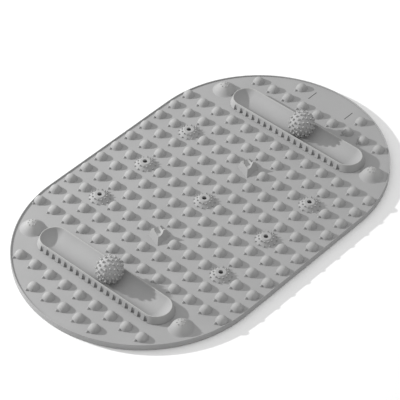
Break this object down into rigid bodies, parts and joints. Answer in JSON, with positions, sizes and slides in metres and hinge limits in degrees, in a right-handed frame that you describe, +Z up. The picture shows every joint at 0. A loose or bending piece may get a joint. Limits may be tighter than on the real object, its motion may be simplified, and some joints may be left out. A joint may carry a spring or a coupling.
{
  "type": "acupressure foot mat",
  "caption": "Oval acupressure foot mat with domed nubs, magnet cones and a spiked ball rolling in a tray at each end.",
  "frame": {"origin": "middle of the plate's outline, on the floor under the anti-slip pads", "axes": "+X along the plate, towards the end with the blank label area; +Y across the plate, towards the toes; +Z up"},
  "size_m": [0.48, 0.29, 0.0392],
  "materials": {
    "mat_plastic": "moulded, fine satin",
    "ball_plastic": "moulded, satin",
    "ferrite": "ground ferrite, dull",
    "core_plating": "nickel plated",
    "pad_rubber": "moulded, matt"
  },
  "bodies": {
    "root": {"mat_plate": "mat_plastic", "left_tray": "mat_plastic", "right_tray": "mat_plastic", "magnet_1": "ferrite", "magnet_2": "ferrite", "magnet_3": "ferrite", "magnet_4": "ferrite", "magnet_5": "ferrite", "magnet_6": "ferrite", "magnet_7": "ferrite", "anti_slip_pad_1": "pad_rubber", "anti_slip_pad_2": "pad_rubber", "anti_slip_pad_3": "pad_rubber", "anti_slip_pad_4": "pad_rubber", "anti_slip_pad_5": "pad_rubber", "anti_slip_pad_6": "pad_rubber", "anti_slip_pad_7": "pad_rubber", "anti_slip_pad_8": "pad_rubber"},
    "left_ball_carrier": {"left_ball_core": "core_plating"},
    "left_ball_shell": {"left_ball_inner_half": "ball_plastic", "left_ball_outer_half": "ball_plastic"},
    "right_ball_carrier": {"right_ball_core": "core_plating"},
    "right_ball_shell": {"right_ball_inner_half": "ball_plastic", "right_ball_outer_half": "ball_plastic"}
  },
  "joints": [
    {"name": "left_ball_travel", "type": "slide", "parent": "root", "child": "left_ball_carrier", "axis": [0, 1, 0], "range_m": [-0.067, 0.081]},
    {"name": "left_ball_roll", "type": "hinge", "parent": "left_ball_carrier", "child": "left_ball_shell", "pos_m": [-0.1564, -0.0073, 0.0233], "axis": [-1, 0, 0], "range_deg": [-240.5, 290.5]},
    {"name": "right_ball_travel", "type": "slide", "parent": "root", "child": "right_ball_carrier", "axis": [0, 1, 0], "range_m": [-0.067, 0.081]},
    {"name": "right_ball_roll", "type": "hinge", "parent": "right_ball_carrier", "child": "right_ball_shell", "pos_m": [0.1564, -0.0073, 0.0233], "axis": [-1, 0, 0], "range_deg": [-240.5, 290.5]}
  ],
  "couplings": [
    {"joint": "left_ball_roll", "follows": "left_ball_travel", "rad_per_m": 62.5},
    {"joint": "right_ball_roll", "follows": "right_ball_travel", "rad_per_m": 62.5}
  ]
}
